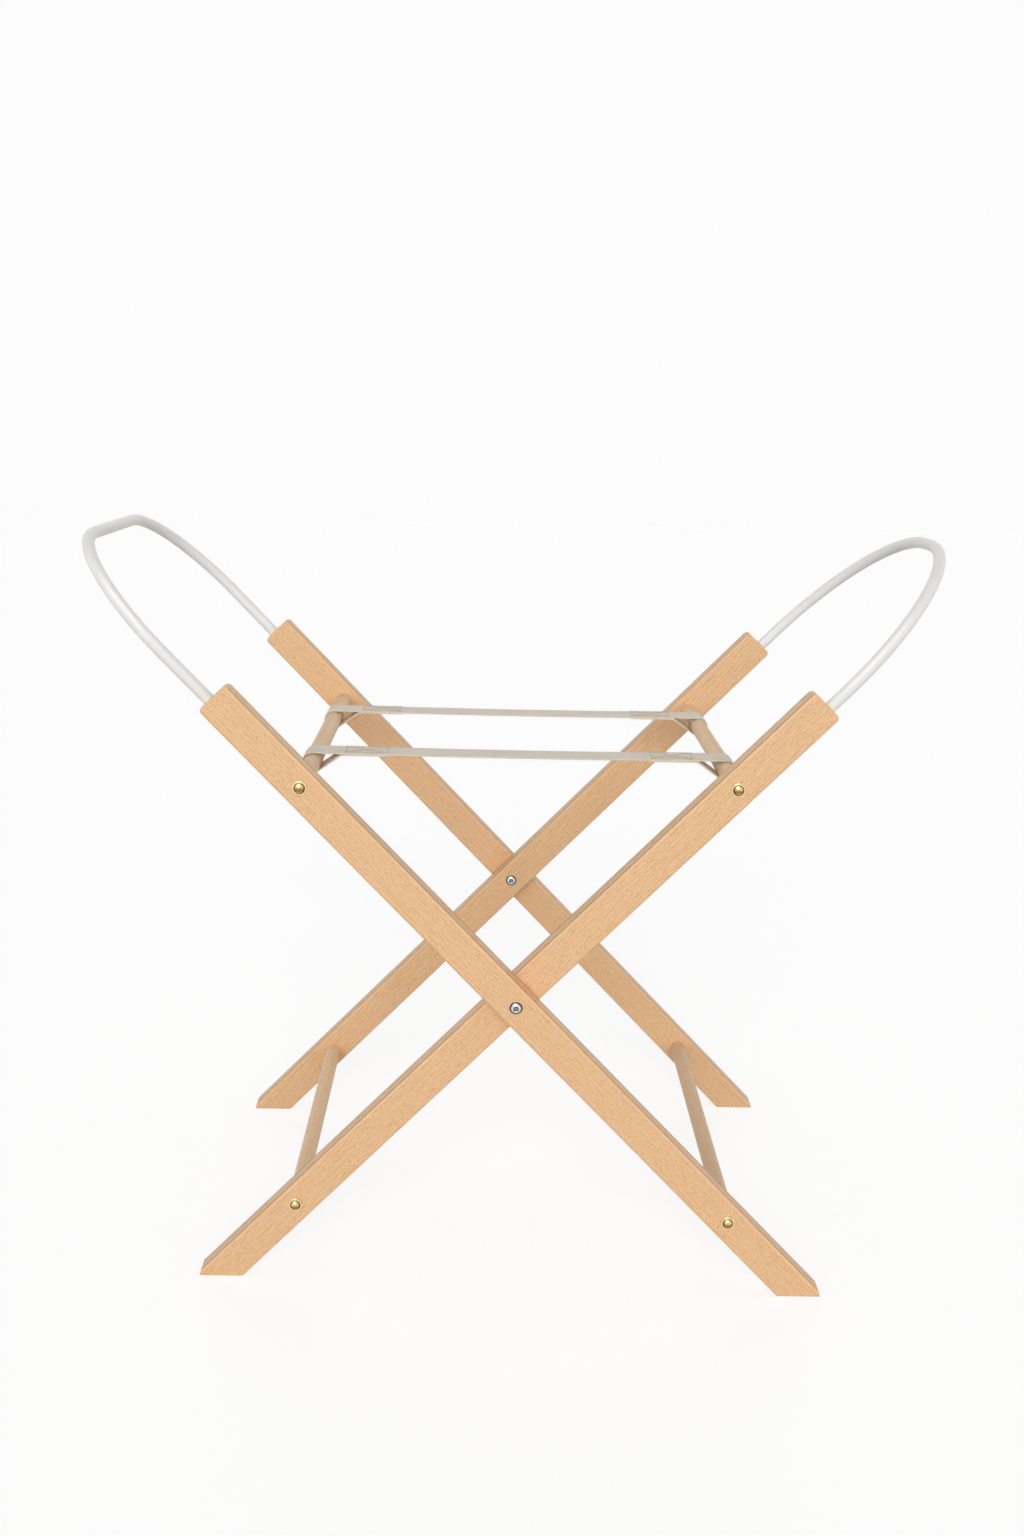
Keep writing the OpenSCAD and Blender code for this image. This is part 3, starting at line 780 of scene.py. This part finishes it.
class STAND_OT_set_fixings(Operator):
    """Sets the crossbar bolts with their washers and both pivots, and finishes the inserts and spacers"""
    bl_idname = "cross_stand.set_fixings"
    bl_label = "Fixings"

    def execute(self, context):
        fit = context.scene.cross_stand.fixings
        # the shadow colour and the under, deep, level and top_rim shares set each plating's painted
        # reflection and painted shade
        brass = plated_metal("polished_brass", tuple(fit.brass), shadow=(0.225, 0.100, 0.020), rough=0.11,
                             under=0.84, deep=0.94, level=0.36, top_rim=0.65)
        bright = plated_metal("bright_brass", tuple(fit.washer_brass), shadow=(0.420, 0.235, 0.080),
                              rough=0.20, under=0.10, deep=0.75)
        zinc = plated_metal("bright_zinc", tuple(fit.zinc), shadow=(0.080, 0.078, 0.075), rough=0.16,
                            under=0.45, deep=0.985)
        nylon = moulded_nylon("moulded_nylon", tuple(fit.nylon))
        head, key = (fit.pivot_d, fit.pivot_h), (fit.key_w, fit.key_h)
        patterns = {
            "bolt": domed_fixing(fit.head_d, fit.head_h, fit.shank_d, fit.shank_l),
            "washer": rounded_washer(fit.washer_d, WASHER_HOLE * fit.shank_d, fit.washer_t, fit.head_d),
            "pivot_bolt": domed_fixing(*head, fit.pivot_bolt_d, fit.pivot_bolt_l, *key),
            "pivot_sleeve": domed_fixing(*head, fit.sleeve_d, fit.sleeve_l, *key),
        }
        recipe = fixings_on_faces()

        def set_on(name, points, pattern, finish, body, nodes, seed, facing=1.0, stand_off=0.0):
            piece = recipe.make(name, points, fixing=patterns[pattern], facing=facing, stand_off=stand_off,
                                seed=seed, finish=finish)
            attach(piece, body)
            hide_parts(*nodes)

        for index, side in enumerate(FRAMES):
            depths = (face_of(f"{side}_front_leg", FRONT), face_of(f"{side}_rear_leg", REAR))
            spots = []
            for level in LEVELS:
                bar = middle_of(f"{side}_{level}_crossbar")
                spots += [(bar.x, depth, bar.z) for depth in depths]
                dress(f"{side}_{level}_inserts", brass)
            for kind, finish, seed, lift in (("washer", bright, 11, 0.0), ("bolt", brass, 21, fit.washer_t)):
                set_on(f"{side}_frame_{kind}s", spots, kind, finish, BODY[side],
                       [f"{side}_{level}_{kind}s" for level in LEVELS], seed + index, stand_off=lift)

        play = face_of("inner_front_leg", FRONT) - face_of("front_pivot_spacer", REAR)
        outside = (face_of("outer_front_leg", FRONT), face_of("outer_rear_leg", REAR))
        inside = (face_of("inner_front_leg", REAR) + play, face_of("inner_rear_leg", FRONT) - play)
        for kind, depths, seed, facing in (("bolt", outside, 31, 1.0), ("sleeve", inside, 41, -1.0)):
            set_on(f"pivot_{kind}s", [(PIVOT.x, depth, PIVOT.z) for depth in depths], f"pivot_{kind}", zinc,
                   BODY["outer"], [f"{end}_pivot_{kind}" for end in ENDS], seed, facing=facing)
        for end in ENDS:
            dress(f"{end}_pivot_spacer", nylon)
        for pattern in patterns.values():
            bpy.data.objects.remove(pattern)
        return {"FINISHED"}


# Straps

# arc that eases the knee where the end of a strap meets the band
KNEE_RADIUS = 0.006
KNEE_STEPS = 8
LOOP_STEPS = 40
SAG_STEPS = 40
# steps along the webbing, in metres, then across it and round its selvedges
BAND_STEP = 0.0024
FLAT_STEPS = 12
SELVEDGE_STEPS = 4
# how far the seam stays from the knee, from the end of the lap and from the selvedges
FIRST_STITCH = 0.004
STITCH_INSET = 0.003
STITCH_MARGIN = 0.0032
# how far the middle of a stitch stands off the webbing, as a share of the thread
STITCH_LIFT = 0.2


def strap_path(strap, half_span, bar_r):
    """Middle line of the webbing in X and Z about the middle of the span, from one lap end to the other,
    with the lap's reach from a crossbar and the levels of its two outer faces."""
    loop_r = bar_r + strap.bar_gap + strap.thickness / 2.0
    rise = strap.rise_angle
    lap_z = loop_r - (strap.thickness + strap.ply_gap)
    leave = Vector((loop_r * sin(rise), -loop_r * cos(rise)))
    knee_x = leave.x + (lap_z - leave.y) / tan(rise)
    lap_start, lap_end = knee_x + FIRST_STITCH, knee_x + strap.lap
    back = KNEE_RADIUS * tan(rise / 2.0)
    half = [Vector((lap_end, lap_z)), Vector((0.5 * (lap_end + knee_x), lap_z))]
    for i in range(KNEE_STEPS + 1):
        bend = rise * i / KNEE_STEPS
        drop = KNEE_RADIUS * (1.0 - cos(bend))
        half.append(Vector((knee_x + back - KNEE_RADIUS * sin(bend), lap_z - drop)))
    for i in range(LOOP_STEPS + 1):
        bend = 1.5 * pi + rise - (pi + rise) * i / LOOP_STEPS
        half.append(Vector((loop_r * cos(bend), loop_r * sin(bend))))
    half = [point + Vector((-half_span, 0.0)) for point in half]
    band = []
    for i in range(1, SAG_STEPS):
        share = i / SAG_STEPS
        hang = 4.0 * strap.sag * share * (1.0 - share)
        band.append(Vector((-half_span + 2.0 * half_span * share, loop_r - hang)))
    other = [Vector((-point.x, point.y)) for point in reversed(half)]
    return (evened(half + band + other, BAND_STEP), lap_start, lap_end, loop_r + strap.thickness / 2.0,
            lap_z - strap.thickness / 2.0)


def evened(points, step):
    """The same line with points at even steps."""
    reach = [0.0]
    for here, there in zip(points, points[1:]):
        reach.append(reach[-1] + (there - here).length)
    count = round(reach[-1] / step)
    found, k = [], 0
    for i in range(count + 1):
        at = reach[-1] * i / count
        while k < len(points) - 2 and reach[k + 1] < at:
            k += 1
        share = (at - reach[k]) / (reach[k + 1] - reach[k])
        found.append(points[k].lerp(points[k + 1], share))
    return found


def ribbon(name, path, middle, strap):
    """Closed band of webbing along a path, with round selvedges and a map of its weave."""
    half_t = strap.thickness / 2.0
    flat = strap.width / 2.0 - half_t
    section = [(-flat + 2.0 * flat * i / FLAT_STEPS, half_t) for i in range(FLAT_STEPS + 1)]
    for i in range(1, SELVEDGE_STEPS):
        bend = pi / 2.0 - pi * i / SELVEDGE_STEPS
        section.append((flat + half_t * cos(bend), half_t * sin(bend)))
    section += [(-across, -above) for across, above in section]
    count, last = len(section), len(path) - 1
    points, faces, weave, runs = [], [], [], []
    run = 0.0
    for i, here in enumerate(path):
        before, after = path[max(i - 1, 0)], path[min(i + 1, last)]
        run += (here - before).length
        runs.append(run)
        way = (after - before).normalized()
        up = Vector((-way.y, way.x))
        for across, above in section:
            spot = here + above * up
            points.append(middle + Vector((spot.x, across, spot.y)))
    for i in range(last):
        for k in range(count):
            corners = ((i, k), (i, (k + 1) % count), (i + 1, (k + 1) % count), (i + 1, k))
            faces.append(tuple(row * count + column for row, column in corners))
            weave.append(tuple((runs[row], section[column][0]) for row, column in corners))
    for i, order in ((0, range(count)[::-1]), (last, range(count))):
        faces.append(tuple(i * count + k for k in order))
        weave.append(tuple((runs[i] + section[k][1], section[k][0]) for k in order))
    mesh = bpy.data.meshes.new(name)
    mesh.from_pydata(points, [], faces)
    chart = mesh.uv_layers.new(name="weave")
    chart.data.foreach_set("uv", [c for face in weave for corner in face for c in corner])
    mesh.polygons.foreach_set("use_smooth", [True] * len(faces))
    mesh.update()
    return mesh


def add_box_stitch(points, lines, middle, near, far, half_w, level):
    """Adds the lines of a box with a cross in it, sewn through a lap."""
    inner = far - copysign(STITCH_INSET, far - near)
    corners = [(near, -half_w), (inner, -half_w), (inner, half_w), (near, half_w)]
    for ends in ((0, 1), (1, 2), (2, 3), (3, 0), (0, 2), (1, 3)):
        lines.append((len(points), len(points) + 1))
        points += [middle + Vector((*corners[end], level)) for end in ends]


class STAND_OT_sew_straps(Operator):
    """Weaves the two spread straps round the upper crossbars and sews their laps"""
    bl_idname = "cross_stand.sew_straps"
    bl_label = "Straps"

    def execute(self, context):
        strap = context.scene.cross_stand.straps
        cotton = woven_cotton("woven_cotton", strap)
        thread = sewing_thread("sewing_thread", tuple(strap.thread))
        recipe = sewn_stitches()
        left, right = middle_of("outer_upper_crossbar"), middle_of("inner_upper_crossbar")
        half_span = (right.x - left.x) / 2.0
        low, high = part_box("outer_upper_crossbar")
        bar_r = (high[2] - low[2]) / 2.0
        path, lap_start, lap_end, top, under = strap_path(strap, half_span, bar_r)
        lift, half_w = STITCH_LIFT * strap.thread_d, 0.5 * strap.width - STITCH_MARGIN
        for end in ENDS:
            middle = Vector((PIVOT.x, middle_of(f"{end}_strap").y, left.z))
            band = placed(f"{end}_webbing", ribbon(f"{end}_webbing", path, middle, strap))
            band.data.materials.append(cotton)
            points, lines = [], []
            for sign in (-1.0, 1.0):
                near, far = sign * (half_span - lap_start), sign * (half_span - lap_end)
                for level in (top + lift, under - lift):
                    add_box_stitch(points, lines, middle, near, far, half_w, level)
            sewn = recipe.make(f"{end}_strap_stitches", points, lines, finish=thread,
                               pitch=strap.stitch_pitch, stitch_length=strap.stitch_l,
                               thread_radius=strap.thread_d / 2.0)
            for piece in (band, sewn):
                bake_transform(piece)
            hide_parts(f"{end}_strap")
        return {"FINISHED"}


# Stage

SENSOR_HEIGHT = 36.0
CLIP_START, CLIP_END = 0.02, 60.0
LIGHT_DISTANCE = 3.0
WHITE = (1.0, 1.0, 1.0)


def set_camera(scene, stage):
    """Puts the camera in its place, turned by its yaw, pitch and roll."""
    level = cos(stage.pitch)
    ahead = Vector((sin(stage.yaw) * level, cos(stage.yaw) * level, -sin(stage.pitch)))
    side = Vector((cos(stage.yaw), -sin(stage.yaw), 0.0))
    down = ahead.cross(side)
    leant = cos(stage.roll) * side - sin(stage.roll) * down
    up = -(sin(stage.roll) * side + cos(stage.roll) * down)
    lens = bpy.data.cameras.new("front_camera")
    lens.sensor_fit = "VERTICAL"
    lens.sensor_height = SENSOR_HEIGHT
    lens.lens = stage.focal
    lens.clip_start, lens.clip_end = CLIP_START, CLIP_END
    camera = placed("front_camera", lens)
    camera.matrix_world = Matrix.Translation(stage.place) @ Matrix((leant, up, -ahead)).transposed().to_4x4()
    scene.camera = camera


def set_lights(stage):
    """Hangs two lights for the surfaces, and one that only glossy surfaces show."""
    for name, aim, strength, width, shines in (
            ("front_light", stage.key_from, stage.key, stage.softness, False),
            ("rear_light", stage.fill_from, stage.fill, stage.softness, False),
            ("gleam_light", stage.gleam_from, stage.gleam, stage.gleam_width, True)):
        lamp = bpy.data.lights.new(name, "SUN")
        lamp.energy = strength
        lamp.angle = width
        light = placed(name, lamp)
        light.visible_diffuse, light.visible_glossy = not shines, shines
        light.rotation_mode = "QUATERNION"
        light.rotation_quaternion = Vector(aim).to_track_quat("Z", "Y")
        light.location = LIGHT_DISTANCE * Vector(aim)


def seen_directly(maker):
    """1 for rays from the camera, in a mirror or through glass, otherwise 0."""
    ray = maker.node("LightPath").outputs
    shiny = maker.math("MAXIMUM", ray["Is Glossy Ray"], ray["Is Transmission Ray"])
    return maker.math("MAXIMUM", ray["Is Camera Ray"], shiny)


def emptied(holder):
    """Node maker for a material or a world whose tree is cleared first."""
    holder.use_nodes = True
    holder.node_tree.nodes.clear()
    return NodeMaker(holder.node_tree)


def lay_floor(stage):
    """Lays a floor that reads as the backdrop where nothing shades it."""
    size = stage.floor
    corners = [(x * size, y * size, 0.0) for x, y in ((-1, -1), (1, -1), (1, 1), (-1, 1))]
    mesh = bpy.data.meshes.new("floor")
    mesh.from_pydata(corners, [], [(0, 1, 2, 3)])
    floor = placed("floor", mesh)
    # light that it gets from the world and from both lights
    lit = stage.ceiling + (stage.walls - stage.ceiling) * stage.wall_reach ** 2 / 3.0
    for aim, strength in ((stage.key_from, stage.key), (stage.fill_from, stage.fill)):
        lit += strength * Vector(aim).normalized().z / pi
    material = bpy.data.materials.new("pale_floor")
    maker = emptied(material)
    missing = maker.times(seen_directly(maker), stage.backdrop - stage.floor_white * lit)
    matt = maker.first("BsdfDiffuse", {"Color": (stage.floor_white,) * 3})
    glow = maker.first("Emission", {"Color": WHITE, "Strength": missing})
    both = maker.first("AddShader", {0: matt, 1: glow})
    maker.node("OutputMaterial", {"Surface": both})
    mesh.materials.append(material)


def set_world(scene, stage):
    """Makes the world white where it is seen, and as a light bright at the walls and dim above."""
    world = bpy.data.worlds.new("backdrop")
    maker = emptied(world)
    height = maker.split(maker.node("TexCoord").outputs["Generated"])[2]
    fade = maker.first("MapRange", {
        "Value": height, "From Max": stage.wall_reach, "To Min": stage.walls, "To Max": stage.ceiling})
    soft = maker.first("Background", {"Color": WHITE, "Strength": fade})
    white = maker.first("Background", {"Color": WHITE, "Strength": stage.backdrop})
    shown = maker.first("MixShader", {0: seen_directly(maker), 1: soft, 2: white})
    maker.node("OutputWorld", {"Surface": shown})
    scene.world = world


class STAND_OT_set_stage(Operator):
    """Sets the floor, the backdrop, the lights and the camera"""
    bl_idname = "cross_stand.set_stage"
    bl_label = "Stage"

    def execute(self, context):
        scene = context.scene
        stage = scene.cross_stand.stage
        scene.view_settings.view_transform = "Standard"
        set_camera(scene, stage)
        set_lights(stage)
        lay_floor(stage)
        set_world(scene, stage)
        return {"FINISHED"}


class STAND_PT_pieces(Panel):
    """Lists the pieces of the stand"""
    bl_label = "Folding stand"
    bl_idname = "STAND_PT_pieces"
    bl_space_type = "VIEW_3D"
    bl_region_type = "UI"
    bl_category = "Stand"

    def draw(self, context):
        stand = context.scene.cross_stand
        for operator, group in STEPS:
            box = self.layout.box()
            box.operator(operator.bl_idname)
            chosen = getattr(stand, group)
            for key in type(chosen).__annotations__:
                box.prop(chosen, key)


GROUPS = (BeechSettings, BowSettings, FixingSettings, StrapSettings, StageSettings, StandSettings)
STEPS = (
    (STAND_OT_set_stage, "stage"), (STAND_OT_dress_legs, "beech"), (STAND_OT_dress_crossbars, "beech"),
    (STAND_OT_bend_bows, "bows"), (STAND_OT_set_fixings, "fixings"), (STAND_OT_sew_straps, "straps"),
)
CLASSES = (*GROUPS, *(operator for operator, _ in STEPS), STAND_PT_pieces)


def register():
    """Registers the classes and hangs the settings on the scene."""
    for cls in CLASSES:
        bpy.utils.register_class(cls)
    bpy.types.Scene.cross_stand = PointerProperty(type=StandSettings)


def unregister():
    """Takes everything off again."""
    del bpy.types.Scene.cross_stand
    for cls in reversed(CLASSES):
        bpy.utils.unregister_class(cls)


def main():
    """Builds the stand."""
    register()
    for operator, _ in STEPS:
        group, name = operator.bl_idname.split(".")
        getattr(getattr(bpy.ops, group), name)()


if __name__ == "__main__":
    main()
